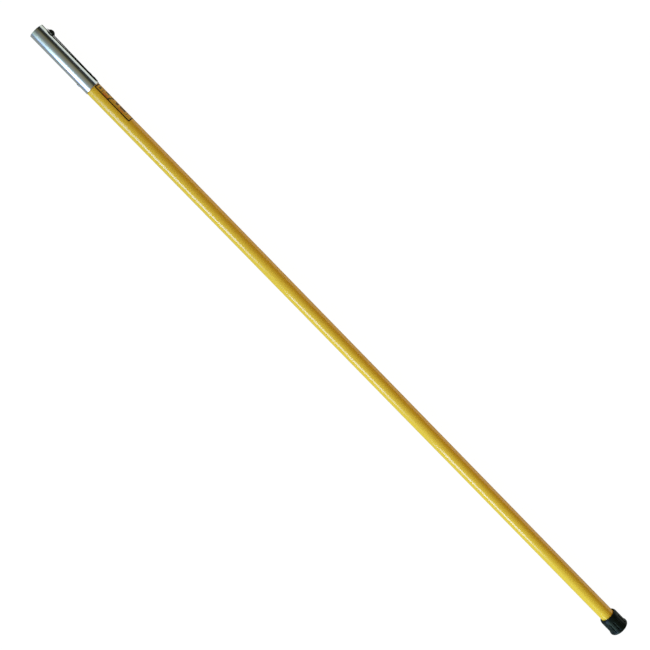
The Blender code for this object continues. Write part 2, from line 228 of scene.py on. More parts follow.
# Warm light from the latch's side
FILL_DISTANCE = 1.5
FILL_ANGLE = 55
FILL_LENGTH = 3.0
FILL_HEIGHT = 1.0
FILL_STRENGTH = 1.0
FILL_COLOUR = (1.0, 0.56, 0.3)

# Where the spring's arm bends away from the sleeve, how far it stands off at its end, and its angle
STRIP_BEND_X = PIVOT.x - STRIP_BEND_BEFORE_PIVOT
STRIP_LIFT = STRIP_HIGH.y - STRIP_LOW.y - STRIP_THICKNESS
STRIP_TILT = math.atan2(STRIP_LIFT, STRIP_HIGH.x - STRIP_BEND_X)

# Camera, from the crossing of its line of sight with the pole's axis
SIGHT_FROM_MOUTH = 0.8314
CAMERA_DISTANCE = 2.4237
LEAN_TO_SOCKET = math.radians(8.137)
LEAN_TO_LATCH = math.radians(5.0)
POLE_ANGLE_IN_VIEW = math.radians(45.678)
AIM_TO_LATCH = 0.0017
CAMERA_LENS = 63.97
CAMERA_SENSOR = 36


# ---------------------------------------------------------------- mesh tools

def new_piece(name, points, faces, material, sharp_angle=40):
    """A mesh object from points and faces, smooth but for edges sharper than the angle."""
    mesh = bpy.data.meshes.new(name)
    mesh.from_pydata([tuple(p) for p in points], [], faces)
    mesh.validate()
    mesh.shade_smooth()
    mesh.set_sharp_from_angle(angle=math.radians(sharp_angle))
    piece = bpy.data.objects.new(name, mesh)
    bpy.context.scene.collection.objects.link(piece)
    if material:
        mesh.materials.append(material)
    return piece


def ring_faces(ring_count, ring_size, close_along):
    """Quads between neighbouring rings, and a cap on each end of a chain of rings."""
    faces = []
    steps = ring_count if close_along else ring_count - 1
    for r in range(steps):
        low = r * ring_size
        high = ((r + 1) % ring_count) * ring_size
        for i in range(ring_size):
            j = (i + 1) % ring_size
            faces.append((low + i, high + i, high + j, low + j))
    if not close_along:
        faces.append(tuple(range(ring_size)))
        last = (ring_count - 1) * ring_size
        faces.append(tuple(last + i for i in reversed(range(ring_size))))
    return faces


def outward_normals(piece):
    """Turns a closed piece's faces outwards if its signed volume is negative."""
    mesh = piece.data
    mesh.calc_loop_triangles()
    volume = 0.0
    for triangle in mesh.loop_triangles:
        a, b, c = (mesh.vertices[i].co for i in triangle.vertices)
        volume += a.dot(b.cross(c))
    if volume < 0:
        mesh.flip_normals()
    return piece


def rounded_outline(corners, closed, steps=5):
    """Points of an outline of (along, radius, rounding) corners, each rounded off by its own distance."""
    points = []
    count = len(corners)
    for i, (along, radius, rounding) in enumerate(corners):
        here = Vector((along, radius))
        at_end = not closed and i in (0, count - 1)
        if rounding <= 0 or at_end:
            points.append(here)
            continue
        before = Vector(corners[i - 1][:2])
        after = Vector(corners[(i + 1) % count][:2])
        start = here + (before - here).normalized() * rounding
        end = here + (after - here).normalized() * rounding
        for step in range(steps + 1):
            share = step / steps
            first = start.lerp(here, share)
            second = here.lerp(end, share)
            points.append(first.lerp(second, share))
    return points


def turned_piece(name, corners, material, closed=False, segments=96, place=None, outward=None, steps=5):
    """Turns a rounded outline about the X axis. With a place given, its +X points outwards from there."""
    outline = rounded_outline(corners, closed, steps)
    turn = Matrix.Identity(4)
    if place is not None:
        turn = Matrix.Translation(place) @ outward.to_track_quat("X", "Z").to_matrix().to_4x4()
    points = []
    for along, radius in outline:
        for i in range(segments):
            angle = 2 * math.pi * i / segments
            points.append(turn @ Vector((along, radius * math.cos(angle), radius * math.sin(angle))))
    piece = new_piece(name, points, ring_faces(len(outline), segments, closed), material)
    return outward_normals(piece)


def cut_away(piece, cutter):
    """Takes the cutter's space out of the piece for good, and removes the cutter."""
    modifier = piece.modifiers.new("cut", "BOOLEAN")
    modifier.operation = "DIFFERENCE"
    modifier.solver = "EXACT"
    modifier.object = cutter
    evaluated = piece.evaluated_get(bpy.context.evaluated_depsgraph_get())
    cut_mesh = bpy.data.meshes.new_from_object(evaluated)
    piece.modifiers.clear()
    piece.data = cut_mesh
    bpy.data.objects.remove(cutter)
    cut_mesh.set_sharp_from_angle(angle=math.radians(40))


def evenly(low, high, steps):
    """Values from low to high, both included."""
    return [low + (high - low) * i / steps for i in range(steps + 1)]


# ---------------------------------------------------------------- material tools

def fill_ramp(node, stops):
    """Gives a colour ramp node its (position, number or colour) stops."""
    elements = node.color_ramp.elements
    while len(elements) < len(stops):
        elements.new(1.0)
    for element, (position, colour) in zip(elements, stops):
        shade = colour if isinstance(colour, tuple) else (colour, colour, colour)
        element.position = position
        element.color = (*shade, 1.0)


class Shader:
    """A node material under construction. Its coordinates are the piece's own, in metres."""

    def __init__(self, name):
        self.material = bpy.data.materials.new(name)
        self.material.use_nodes = True
        self.nodes = self.material.node_tree.nodes
        self.links = self.material.node_tree.links
        self.surface = self.nodes["Principled BSDF"]
        self.coordinates = self.nodes.new("ShaderNodeTexCoord").outputs["Object"]
        self.last_normal = None

    def set(self, **values):
        for name, value in values.items():
            self.surface.inputs[name.replace("_", " ")].default_value = value

    def feed(self, socket, source):
        if isinstance(source, (int, float)):
            socket.default_value = source
        elif isinstance(source, tuple):
            socket.default_value = (*source, 1.0)
        else:
            self.links.new(source, socket)

    def scaled(self, x, y, z):
        """The piece's coordinates with each axis scaled, for patterns that are stretched one way."""
        node = self.nodes.new("ShaderNodeMapping")
        node.inputs["Scale"].default_value = (x, y, z)
        self.links.new(self.coordinates, node.inputs["Vector"])
        return node.outputs["Vector"]

    def noise(self, vector, scale, detail=3.0, roughness=0.5):
        node = self.nodes.new("ShaderNodeTexNoise")
        self.links.new(vector, node.inputs["Vector"])
        node.inputs["Scale"].default_value = scale
        node.inputs["Detail"].default_value = detail
        node.inputs["Roughness"].default_value = roughness
        return node.outputs["Fac"]

    def ramp(self, value, *stops):
        """Maps a value through (position, number or colour) stops."""
        node = self.nodes.new("ShaderNodeValToRGB")
        self.links.new(value, node.inputs["Fac"])
        fill_ramp(node, stops)
        return node.outputs["Color"]

    def math(self, operation, first, second=0.0, third=0.0):
        node = self.nodes.new("ShaderNodeMath")
        node.operation = operation
        for socket, source in zip(node.inputs, (first, second, third)):
            self.feed(socket, source)
        return node.outputs[0]

    def mix(self, share, first, second, blend="MIX"):
        node = self.nodes.new("ShaderNodeMix")
        node.data_type = "RGBA"
        node.blend_type = blend
        colour_inputs = [socket for socket in node.inputs if socket.type == "RGBA"]
        self.feed(node.inputs["Factor"], share)
        self.feed(colour_inputs[0], first)
        self.feed(colour_inputs[1], second)
        return next(socket for socket in node.outputs if socket.type == "RGBA")

    def axes(self):
        """The piece's x, y and z as three values."""
        node = self.nodes.new("ShaderNodeSeparateXYZ")
        self.links.new(self.coordinates, node.inputs[0])
        return node.outputs

    def bump(self, height, strength, distance):
        """Adds a bump of up to this distance in metres on top of any earlier one."""
        node = self.nodes.new("ShaderNodeBump")
        node.inputs["Strength"].default_value = strength
        node.inputs["Distance"].default_value = distance
        self.links.new(height, node.inputs["Height"])
        if self.last_normal:
            self.links.new(self.last_normal, node.inputs["Normal"])
        self.last_normal = node.outputs["Normal"]
        self.links.new(self.last_normal, self.surface.inputs["Normal"])

    def colour(self, source):
        self.feed(self.surface.inputs["Base Color"], source)

    def roughness(self, source):
        self.feed(self.surface.inputs["Roughness"], source)


# ---------------------------------------------------------------- materials

def fibreglass_material():
    """Yellow glass fibre: lengthwise strands in clear resin, handling marks, and painted shade against the
    sleeve's end.
    """
    shader = Shader("fibreglass")
    strands = shader.noise(shader.scaled(1.5, 900, 900), 1.0, 4.0, 0.6)
    clouds = shader.noise(shader.scaled(4, 60, 60), 1.0, 2.0)
    light_strands = shader.ramp(strands, (0.3, 0.0), (0.7, 1.0))
    tone = shader.mix(light_strands, (0.66, 0.370, 0.019), (0.70, 0.395, 0.022))
    tone = shader.mix(shader.ramp(clouds, (0.35, 0.0), (0.75, 0.35)), tone, (0.70, 0.37, 0.012))
    scuffs = shader.noise(shader.scaled(25, 260, 260), 1.0, 5.0, 0.7)
    marks = shader.ramp(scuffs, (0.66, 0.0), (0.74, 1.0))
    tone = shader.mix(shader.math("MULTIPLY", marks, 0.08), tone, (0.56, 0.38, 0.14))
    # Painted shade: the tube darkens to brown close to the sleeve's end, standing in for the sleeve's
    # shadow
    to_sleeve = shader.math("SUBTRACT", SLEEVE_LOW.x, shader.axes()["X"])
    painted_sleeve_shade = shader.ramp(shader.math("DIVIDE", to_sleeve, SLEEVE_SHADE_LENGTH), (0.0, 0.8), (1.0, 0.0))
    shader.colour(shader.mix(painted_sleeve_shade, tone, (0.30, 0.13, 0.010)))
    shader.roughness(shader.ramp(clouds, (0.3, 0.08), (0.75, 0.11)))
    shader.bump(clouds, 0.05, 0.00002)
    shader.set(Specular_IOR_Level=0.42)
    return shader.material


def drawn_steel_material():
    """Bright drawn tube with faint draw lines, rub marks, painted shade under the spring, and a dull
    inside.
    """
    shader = Shader("drawn_steel")
    lines = shader.noise(shader.scaled(3, 900, 900), 1.0, 3.0, 0.65)
    clouds = shader.noise(shader.scaled(30, 90, 90), 1.0, 4.0, 0.6)
    rubs = shader.noise(shader.scaled(160, 500, 500), 1.0, 6.0, 0.7)
    tone = shader.mix(shader.ramp(clouds, (0.3, 0.0), (0.7, 1.0)), (0.58, 0.58, 0.58), (0.66, 0.66, 0.66))
    tone = shader.mix(shader.ramp(lines, (0.45, 0.0), (0.75, 0.25)), tone, (0.52, 0.52, 0.52))
    tone = shader.mix(shader.ramp(rubs, (0.62, 0.0), (0.75, 0.3)), tone, (0.46, 0.45, 0.44))
    x, y, z = shader.axes()
    # Painted shade: the sleeve goes near black under the spring, standing in for the spring's shadow, and
    # fades out towards its free end
    from_strip = shader.math("DIVIDE", shader.math("ABSOLUTE", z), STRIP_HIGH.z)
    beside = shader.ramp(shader.math("MULTIPLY", from_strip, 0.5), (0.44, 1.0), (0.56, 0.0))
    to_free_end = shader.math("DIVIDE", shader.math("SUBTRACT", STRIP_HIGH.x, x), SPRING_SHADE_FADE)
    frayed = shader.math("ADD", to_free_end, shader.math("SUBTRACT", rubs, 0.5))
    along_strip = shader.math("MULTIPLY", shader.ramp(frayed, (0.3, 0.0), (0.9, 1.0)),
                              shader.math("GREATER_THAN", x, STRIP_LOW.x))
    painted_spring_shade = shader.math("MULTIPLY", along_strip, shader.math("LESS_THAN", y, 0.0))
    shader.colour(shader.mix(shader.math("MULTIPLY", beside, painted_spring_shade), tone, (0.02, 0.02, 0.018)))
    squares = shader.math("ADD", shader.math("POWER", y, 2.0), shader.math("POWER", z, 2.0))
    radius = shader.math("SQRT", squares)
    inside = shader.math("LESS_THAN", radius, SLEEVE_RADIUS - SLEEVE_WALL / 2)
    polish = shader.ramp(rubs, (0.35, 0.13), (0.75, 0.24))
    shader.roughness(shader.mix(inside, polish, (0.55, 0.55, 0.55)))
    shader.bump(clouds, 0.05, 0.00003)
    shader.set(Metallic=1.0)
    return shader.material


def black_steel_material(name, bare_from=None, bare_to=None):
    """Black oxide steel. It can be rubbed bare towards one end, between two places along X."""
    shader = Shader(name)
    grain = shader.noise(shader.scaled(300, 1800, 1800), 1.0, 4.0, 0.6)
    wear = shader.noise(shader.scaled(180, 180, 180), 1.0, 5.0, 0.65)
    rubbed = shader.ramp(wear, (0.35, 0.0), (0.7, 1.0))
    tone = shader.mix(rubbed, (0.006, 0.009, 0.007), (0.015, 0.019, 0.016))
    worn = shader.ramp(wear, (0.66, 0.0), (0.76, 0.1))
    if bare_from is not None:
        along = shader.axes()["X"]
        share = shader.math("DIVIDE", shader.math("SUBTRACT", along, bare_from), bare_to - bare_from)
        frayed = shader.math("ADD", share, shader.math("MULTIPLY", shader.math("SUBTRACT", wear, 0.5), 1.2))
        worn = shader.mix(1.0, worn, shader.ramp(frayed, (0.35, 0.0), (0.6, 1.0)), "LIGHTEN")
    shader.colour(shader.mix(worn, tone, (0.46, 0.46, 0.44)))
    shader.feed(shader.surface.inputs["Metallic"], worn)
    shader.roughness(shader.ramp(grain, (0.3, 0.36), (0.7, 0.50)))
    shader.bump(grain, 0.2, 0.00002)
    shader.set(Specular_IOR_Level=0.03)
    return shader.material


def plain_steel_material(name, tone_low, tone_high):
    """Turned or drawn metal with fine tool marks."""
    shader = Shader(name)
    grain = shader.noise(shader.scaled(1400, 1400, 1400), 1.0, 4.0, 0.6)
    clouds = shader.noise(shader.scaled(220, 220, 220), 1.0, 3.0)
    shader.colour(shader.mix(shader.ramp(clouds, (0.3, 0.0), (0.7, 1.0)), tone_low, tone_high))
    shader.roughness(shader.ramp(grain, (0.3, 0.24), (0.7, 0.42)))
    shader.bump(grain, 0.15, 0.00002)
    shader.set(Metallic=1.0)
    return shader.material


def nylon_material():
    """Black moulded nylon with a fine spark-eroded texture."""
    shader = Shader("nylon")
    grain = shader.noise(shader.scaled(2200, 2200, 2200), 1.0, 3.0)
    dust = shader.noise(shader.scaled(240, 240, 240), 1.0, 4.0, 0.6)
    dusty = shader.ramp(dust, (0.4, 0.0), (0.75, 0.6))
    shader.colour(shader.mix(dusty, (0.030, 0.030, 0.031), (0.09, 0.086, 0.080)))
    shader.roughness(shader.ramp(grain, (0.3, 0.42), (0.7, 0.58)))
    shader.bump(grain, 0.3, 0.00003)
    return shader.material


def rubber_material():
    """Black moulded rubber, slightly green, with a satin skin, fine pits and pale dust."""
    shader = Shader("rubber")
    pits = shader.noise(shader.scaled(1500, 1500, 1500), 1.0, 4.0, 0.6)
    skin = shader.noise(shader.scaled(150, 150, 150), 1.0, 4.0, 0.6)
    dust = shader.ramp(skin, (0.5, 0.0), (0.8, 0.25))
    pitted = shader.ramp(pits, (0.35, 0.0), (0.7, 1.0))
    tone = shader.mix(pitted, (0.0015, 0.0035, 0.0020), (0.0035, 0.0065, 0.0042))
    shader.colour(shader.mix(dust, tone, (0.020, 0.025, 0.020)))
    shader.roughness(shader.ramp(skin, (0.3, 0.28), (0.7, 0.38)))
    shader.bump(pits, 0.1, 0.00003)
    shader.set(Specular_IOR_Level=0.12)
    return shader.material


def label_material():
    """Printed film: a dark rounded border round plain bars and blocks, with no lettering."""
    shader = Shader("label_print")
    x, y, z = shader.axes()
    middle = (LABEL_LOW.x + LABEL_HIGH.x) / 2
    around = shader.math("ARCTAN2", z, shader.math("MULTIPLY", y, -1.0))
    across = shader.math("MULTIPLY", around, TUBE_RADIUS)
    along = shader.math("SUBTRACT", middle, x)
    half_long = (LABEL_HIGH.x - LABEL_LOW.x) / 2
    half_wide = LABEL_HALF_ANGLE * TUBE_RADIUS

    # Distance inside the film's rounded edge
    past_long = shader.math("SUBTRACT", shader.math("ABSOLUTE", along), half_long - LABEL_CORNER)
    past_wide = shader.math("SUBTRACT", shader.math("ABSOLUTE", across), half_wide - LABEL_CORNER)
    beyond = [shader.math("MAXIMUM", past, 0.0) for past in (past_long, past_wide)]
    squares = [shader.math("POWER", value, 2.0) for value in beyond]
    round_part = shader.math("SQRT", shader.math("ADD", squares[0], squares[1]))
    flat_part = shader.math("MINIMUM", shader.math("MAXIMUM", past_long, past_wide), 0.0)
    inside = shader.math("SUBTRACT", LABEL_CORNER, shader.math("ADD", round_part, flat_part))
    border = shader.math("LESS_THAN", inside, LABEL_BORDER)

    wear = shader.noise(shader.scaled(300, 300, 300), 1.0, 5.0, 0.6)
    streaks = shader.noise(shader.scaled(6, 700, 700), 1.0, 3.0)
    streaked = shader.ramp(streaks, (0.3, 0.0), (0.7, 1.0))
    colour = shader.mix(streaked, (0.50, 0.27, 0.014), (0.58, 0.33, 0.020))
    for centre_along, centre_across, length, width, ink in LABEL_BARS:
        in_length = shader.math("COMPARE", along, centre_along - half_long, length / 2)
        in_width = shader.math("COMPARE", across, centre_across, width / 2)
        colour = shader.mix(shader.math("MULTIPLY", in_length, in_width), colour, ink)
    worn = shader.ramp(wear, (0.55, 0.0), (0.75, 0.12))
    border_ink = shader.mix(worn, (0.004, 0.004, 0.003), (0.16, 0.09, 0.02))
    shader.colour(shader.mix(border, colour, border_ink))
    shader.roughness(shader.ramp(wear, (0.3, 0.26), (0.7, 0.42)))
    shader.bump(wear, 0.08, 0.00004)
    shader.set(Specular_IOR_Level=0.2)
    return shader.material


def floor_material():
    """Pale paper that gives light, so that it looks white. Beside the latch its glow is painted dark, a
    painted shadow of the pole that the pole mirrors.
    """
    shader = Shader("floor_paper")
    fibres = shader.noise(shader.scaled(60, 60, 60), 1.0, 4.0, 0.6)
    shader.colour(shader.ramp(fibres, (0.3, FLOOR_SHADE), (0.7, FLOOR_SHADE + 0.02)))
    shader.roughness(0.9)
    # Painted shadow: the glow drops to near black close beside the pole on the latch's side, standing in
    # for the pole's shadow on the floor
    across = shader.math("DIVIDE", shader.math("ADD", shader.axes()["Y"], FLOOR_BLEND), 2 * FLOOR_BLEND)
    glow_and_painted_shadow = shader.ramp(across, (0.0, FLOOR_GLOW_LATCH_SIDE), (0.25, FLOOR_PAINTED_SHADOW_BY_LATCH),
                       (0.45, FLOOR_PAINTED_SHADOW_BY_LATCH), (0.55, FLOOR_GLOW_BACK_SIDE))
    seen = shader.nodes.new("ShaderNodeLightPath").outputs["Is Camera Ray"]
    shader.feed(shader.surface.inputs["Emission Color"], shader.mix(seen, glow_and_painted_shadow, FLOOR_SEEN))
    shader.set(Emission_Strength=1.0, Specular_IOR_Level=0.0)
    return shader.material


# ---------------------------------------------------------------- pieces

def place_by(piece, body, node):
    """Makes the piece stand for a CAD node and move with its body."""
    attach(piece, body)
    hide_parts(node)


def cut_hole(piece, node, side, radius, length=HOLE_CUT):
    """Cuts a round hole for this rivet or pin through one side of the piece."""
    cut_away(piece, make_hole(side_place(node, side), side, radius, length))


def cut_rivet_holes(piece):
    """Cuts the three rivets' holes through the wall of the tube or the sleeve."""
    for node in STRIP_RIVETS:
        cut_hole(piece, node, LATCH_SIDE, RIVET_HOLE_RADIUS)
    cut_hole(piece, "sleeve_rivet", BACK_SIDE, RIVET_HOLE_RADIUS)


def make_tube(material):
    """The long tube, with rounded ends and the rivets' holes."""
    edge = 0.0004
    inner = TUBE_RADIUS - TUBE_WALL
    tube = turned_piece("fibreglass_tube", [
        (TUBE_LOW.x, TUBE_RADIUS, edge),
        (TUBE_HIGH.x, TUBE_RADIUS, edge),
        (TUBE_HIGH.x, inner, edge),
        (TUBE_LOW.x, inner, edge),
    ], material, closed=True, segments=128)
    cut_rivet_holes(tube)
    place_by(tube, POLE_BODY, "pole_tube")


def make_sleeve(material):
    """The sleeve, with rounded ends, the lock pin's hole and the rivets' holes."""
    inner = SLEEVE_RADIUS - SLEEVE_WALL
    outer_edge = 0.00038
    inner_edge = 0.0002
    pin_x = middle_x("latch_pin")
    span = 2.5 * PIN_HOLE_RADIUS
    stations = evenly(pin_x - span, pin_x + span, 16)
    outer_corners = [(x, SLEEVE_RADIUS, 0) for x in stations]
    inner_corners = [(x, inner, 0) for x in reversed(stations)]
    sleeve = turned_piece("socket_sleeve", [
        (SLEEVE_LOW.x, SLEEVE_RADIUS, outer_edge),
        *outer_corners,
        (MOUTH_X, SLEEVE_RADIUS, outer_edge),
        (MOUTH_X, inner, outer_edge),
        *inner_corners,
        (SLEEVE_LOW.x, inner, inner_edge),
    ], material, closed=True, segments=160)
    cut_hole(sleeve, "latch_pin", LATCH_SIDE, PIN_HOLE_RADIUS, PIN_HOLE_CUT)
    cut_rivet_holes(sleeve)
    place_by(sleeve, POLE_BODY, "ferrule_sleeve")


def make_plug(material):
    """The socket's floor: a flanged plug with a ring and a gate mark moulded in its face."""
    face = PLUG_HIGH.x
    flange = 0.0025
    rim = PLUG_HIGH.z
    shank = TUBE_RADIUS - TUBE_WALL - BOND_GAP
    wall = 0.0025
    plug = turned_piece("socket_floor_plug", [
        (face - 0.0006, AXIS_RING, 0),
        (face - 0.0006, 0.0016, 0.0002),
        (face, 0.0020, 0.0003),
        (face, 0.0085, 0.0003),
        (face - 0.0005, 0.0090, 0.0002),
        (face - 0.0005, 0.0105, 0.0002),
        (face, 0.0110, 0.0003),
        (face, rim, 0.0006),
        (face - flange, rim, 0.0003),
        (face - flange, shank, 0.0002),
        (PLUG_LOW.x, shank, 0.0008),
        (PLUG_LOW.x, shank - wall, 0.0004),
        (face - flange, shank - wall, 0.0005),
    ], material, segments=96)
    place_by(plug, POLE_BODY, "tube_plug")


def strip_height(x):
    """How far the spring's arm stands off the line of its foot, at this place along the pole."""
    return max(0.0, x - STRIP_BEND_X) * math.tan(STRIP_TILT)


def make_hole(place, outward, radius, length):
    """A round cutter that runs both ways along outward from its place."""
    return turned_piece("hole_cutter", [
        (-length / 2, radius, 0),
        (length / 2, radius, 0),
    ], None, segments=48, place=place, outward=outward)


def strip_outline(half_width):
    """The spring's cross-section, round at its edges, as (y, z) points about its own middle."""
    points = []
    for side_y, side_z, start in ((1, 1, 0), (-1, 1, 90), (-1, -1, 180), (1, -1, 270)):
        for step in range(4):
            angle = math.radians(start + 30 * step)
            y = side_y * (STRIP_THICKNESS / 2 - STRIP_EDGE) + STRIP_EDGE * math.cos(angle)
            z = side_z * (half_width - STRIP_EDGE) + STRIP_EDGE * math.sin(angle)
            points.append((y, z))
    return points


def make_strip(material):
    """The leaf spring: rounded edges, a round free end, clipped corners at its foot, and three holes."""
    half = STRIP_HIGH.z
    stations = [
        (STRIP_LOW.x, half - STRIP_CLIP),
        (STRIP_LOW.x + STRIP_CLIP / 3, half - STRIP_CLIP / 3),
        (STRIP_LOW.x + STRIP_CLIP, half),
    ]
    stations += [(x, half) for x in evenly(STRIP_LOW.x + 2 * STRIP_CLIP, STRIP_HIGH.x - half, 80)]
    for angle in evenly(0, STRIP_END_TURN, 14)[1:]:
        stations.append((STRIP_HIGH.x - half * (1 - math.sin(angle)), half * math.cos(angle)))
    points = []
    for x, half_width in stations:
        middle = STRIP_HIGH.y - STRIP_THICKNESS / 2 - strip_height(x)
        points += [(x, middle + y, z) for y, z in strip_outline(half_width)]
    faces = ring_faces(len(stations), len(strip_outline(half)), False)
    strip = outward_normals(new_piece("latch_leaf_spring", points, faces, material))
    for rivet in STRIP_RIVETS:
        cut_hole(strip, rivet, LATCH_SIDE, RIVET_HOLE_RADIUS)
    cut_hole(strip, "latch_pin", LATCH_SIDE, TENON_RADIUS + TENON_CLEARANCE)
    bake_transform(strip)
    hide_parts("latch_spring")


def middle_x(node):
    """Where the middle of a node's box is along the pole."""
    low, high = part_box(node)
    return (low.x + high.x) / 2


def side_place(node, side):
    """The point on the sleeve's surface, on this side, that a rivet or pin passes through."""
    return Vector((middle_x(node), 0, 0)) + side * SLEEVE_RADIUS


def arm_place(height):
    """A point on the latch arm above the pin's middle, this far outside the strip's middle surface."""
    tilt = Matrix.Rotation(-STRIP_TILT, 4, "Z")
    from_bend = (middle_x("latch_pin") - STRIP_BEND_X) / math.cos(STRIP_TILT)
    bend = Vector((STRIP_BEND_X, STRIP_HIGH.y - STRIP_THICKNESS / 2, 0))
    return bend + tilt @ Vector((from_bend, -height, 0))


def make_button(material):
    """A low dome with a rounded rim, hollow underneath for the pin's tenon."""
    steps = 30
    hollow = TENON_RADIUS + TENON_CLEARANCE
    radius = BUTTON_HIGH.z
    height = BUTTON_HEIGHT
    sphere = (radius ** 2 + height ** 2) / (2 * height)
    rim_angle = math.asin(radius / sphere)
    corners = [(0.0022, hollow, 0), (0, hollow, 0), (0, radius - TRIM, 0.0002)]
    for step in range(1, steps):
        angle = rim_angle * (1 - step / steps)
        corners.append((height - sphere + sphere * math.cos(angle), sphere * math.sin(angle), 0))
    corners.append((height, TRIM, 0))
    outward = Matrix.Rotation(-STRIP_TILT, 3, "Z") @ LATCH_SIDE
    button = turned_piece("latch_button_dome", corners, material, segments=96,
                          place=arm_place(STRIP_THICKNESS / 2 + SEAT_GAP), outward=outward)
    place_by(button, LATCH_BODY, "latch_button")


def make_pin(material):
    """The lock pin: tenon, collar and a nose with a generous round."""
    collar = strip_height(middle_x("latch_pin")) - SEAT_GAP
    nose = collar + SEAT_GAP + SLEEVE_WALL + PIN_REACH
    outward = Matrix.Rotation(-STRIP_TILT, 3, "Z") @ LATCH_SIDE
    pin = turned_piece("latch_lock_pin", [
        (-nose, AXIS_RING, 0),
        (-nose, PIN_RADIUS, 0.0014),
        (-collar, PIN_RADIUS, 0.0001),
        (-collar, PIN_COLLAR_RADIUS, 0.0002),
        (0, PIN_COLLAR_RADIUS, 0.0002),
        (0, TENON_RADIUS, 0.0001),
        (TENON_LENGTH - TRIM, TENON_RADIUS, 0.0003),
        (TENON_LENGTH - TRIM, AXIS_RING, 0),
    ], material, segments=64, place=arm_place(-STRIP_THICKNESS / 2 - SEAT_GAP), outward=outward)
    place_by(pin, LATCH_BODY, "latch_pin")


def make_rivet(node, side, seat_radius, grip, head_radius, head_height, slot, material):
    """A blind rivet: a rounded head round its mandrel's hole, a shank, and the bulge on its blind side."""
    blind_side = -grip - 0.0004
    inner_end = blind_side - RIVET_BULGE
    pocket = inner_end + 0.0016
    top = head_height + SEAT_GAP
    place = Vector((middle_x(node), 0, 0)) + side * seat_radius
    rivet = turned_piece(node + "_body", [
        (inner_end, RIVET_POCKET_RADIUS, 0.0001),
        (inner_end, RIVET_RADIUS + 0.0002, 0.0001),
        (blind_side - RIVET_BULGE * 0.75, RIVET_RADIUS + 0.0008, 0.0004),
        (blind_side - RIVET_BULGE / 2, RIVET_RADIUS + 0.0011, 0.0004),
        (blind_side - RIVET_BULGE / 4, RIVET_RADIUS + 0.0008, 0.0004),
        (blind_side, RIVET_RADIUS, 0.0001),
        (SEAT_GAP, RIVET_RADIUS, 0.0001),
        (SEAT_GAP, head_radius, 0.00015),
        (SEAT_GAP + head_height * 0.45, head_radius * 0.94, head_height * 0.3),
        (top, head_radius * 0.62, head_height * 0.8),
        (top, RIVET_BORE + 0.0003, 0.0002),
        (top - 0.0002, RIVET_BORE, 0.0001),
        (pocket, RIVET_BORE, 0.0001),
        (pocket, RIVET_POCKET_RADIUS, 0.0001),
    ], material, closed=True, segments=72, place=place, outward=side)
    place_by(rivet, POLE_BODY, node)


def make_label(material):
    """A thin film wrapped round the tube, with round corners."""
    half_arc = LABEL_HALF_ANGLE * TUBE_RADIUS
    half_length = (LABEL_HIGH.x - LABEL_LOW.x) / 2
    middle = (LABEL_HIGH.x + LABEL_LOW.x) / 2
    into_corner = [LABEL_CORNER * (1 - math.cos(turn)) for turn in evenly(0, math.pi / 2, 10)]
    columns = [width - half_arc for width in into_corner]
    columns += evenly(LABEL_CORNER - half_arc, half_arc - LABEL_CORNER, 60)[1:-1]
    columns += [half_arc - width for width in reversed(into_corner)]
    inner = TUBE_RADIUS + FILM_LIFT
    outer = inner + FILM_THICKNESS
    length_steps = 24
    points = []
    for column in columns:
        past = max(0.0, LABEL_CORNER - (half_arc - abs(column)))
        reach = half_length - LABEL_CORNER + math.sqrt(max(0.0, LABEL_CORNER ** 2 - past ** 2))
        angle = column / TUBE_RADIUS
        along = evenly(-reach, reach, length_steps)
        ring = [(x, inner) for x in along] + [(x, outer) for x in reversed(along)]
        points += [(middle + x, -radius * math.cos(angle), radius * math.sin(angle)) for x, radius in ring]
    faces = ring_faces(len(columns), 2 * (length_steps + 1), False)
    label = outward_normals(new_piece("printed_label", points, faces, material))
    place_by(label, POLE_BODY, "label")


def groove_depth(along, around):
    """How deep the tip's side is cut here: around is the distance from the nearest groove's middle line."""
    past_end = max(0.0, GROOVE_LOW + GROOVE_HALF_WIDTH - along, along - GROOVE_HIGH + GROOVE_HALF_WIDTH)
    share = min(1.0, math.hypot(past_end, around) / GROOVE_HALF_WIDTH)
    return GROOVE_DEPTH * (1 - share ** 2) ** 1.5


def tip_outline():
    """The rubber tip's outline as (along, radius) points, from the middle of its end to the cup's floor."""
    corners = [(0.0, AXIS_RING, 0), (0.0, 0.0035, 0)]
    for low, high in TREAD_RINGS:
        corners += [
            (0.0, low, 0.0003),
            (TREAD_DEPTH, low + 0.0001, 0.0003),
            (TREAD_DEPTH, high - 0.0001, 0.0003),
            (0.0, high, 0.0003),
        ]
    flare_middle = TIP_FLARE_RADIUS - TIP_FLARE_AT
    for step in range(13):
        angle = math.pi / 2 * step / 12
        along = TIP_FLARE_AT * (1 - math.cos(angle))
        corners.append((along, flare_middle + TIP_FLARE_AT * math.sin(angle), 0))
    for share in evenly(0, 1, 16)[1:]:
        ease = (1 + math.cos(math.pi * share)) / 2
        along = TIP_FLARE_AT + (TIP_FLARE_TOP - TIP_FLARE_AT) * share
        corners.append((along, TIP_RADIUS + (TIP_FLARE_RADIUS - TIP_RADIUS) * ease, 0))
    shoulder_low = TIP_HIGH.x - TIP_SHOULDER
    corners += [(along, TIP_RADIUS, 0) for along in evenly(TIP_FLARE_TOP, shoulder_low, 60)[1:]]
    for step in range(1, 20):
        angle = math.pi / 2 * step / 20
        radius = TIP_RIM_RADIUS + (TIP_RADIUS - TIP_RIM_RADIUS) * math.cos(angle)
        corners.append((shoulder_low + TIP_SHOULDER * math.sin(angle), radius, 0))
    bore = TUBE_RADIUS + BOND_GAP
    corners += [
        (TIP_HIGH.x, TIP_RIM_RADIUS - 0.0003, 0.0002),
        (TIP_HIGH.x, bore, 0.0005),
        (TIP_FLOOR, bore, 0.0004),
        (TIP_FLOOR, AXIS_RING, 0),
    ]
    return rounded_outline(corners, False, 4)


